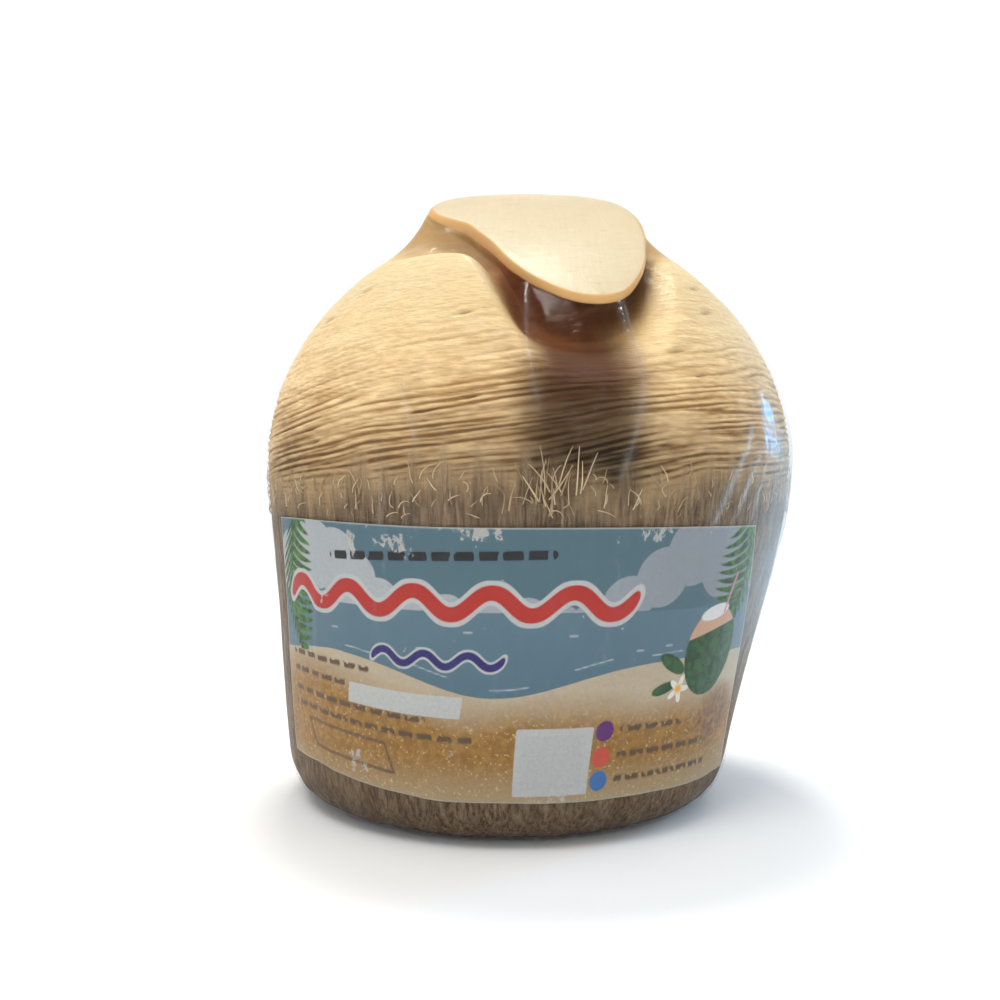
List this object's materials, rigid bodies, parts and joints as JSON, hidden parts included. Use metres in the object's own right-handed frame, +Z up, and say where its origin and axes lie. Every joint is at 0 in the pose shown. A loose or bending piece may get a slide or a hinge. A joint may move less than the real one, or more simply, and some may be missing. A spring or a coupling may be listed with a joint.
{
  "type": "trimmed young coconut",
  "caption": "Trimmed young coconut with a carved pull tongue on top, wrapped in clear shrink film over a printed paper label.",
  "frame": {"origin": "on the surface it rests on, at the centre of the box round the whole object, on the axis of the dome", "axes": "+Z up along the dome's axis, -Y towards the labelled front, +X to the right when facing the front"},
  "size_m": [0.126, 0.1264, 0.1522],
  "materials": {
    "husk": "peeled fibrous husk, cream, grooved and dry",
    "label": "coated paper printed in muted blue, cream and ochre",
    "film": "clear glossy shrink film with creases"
  },
  "bodies": {
    "root": {"coconut_husk": "husk", "paper_label": "label", "shrink_film": "film"}
  },
  "joints": []
}
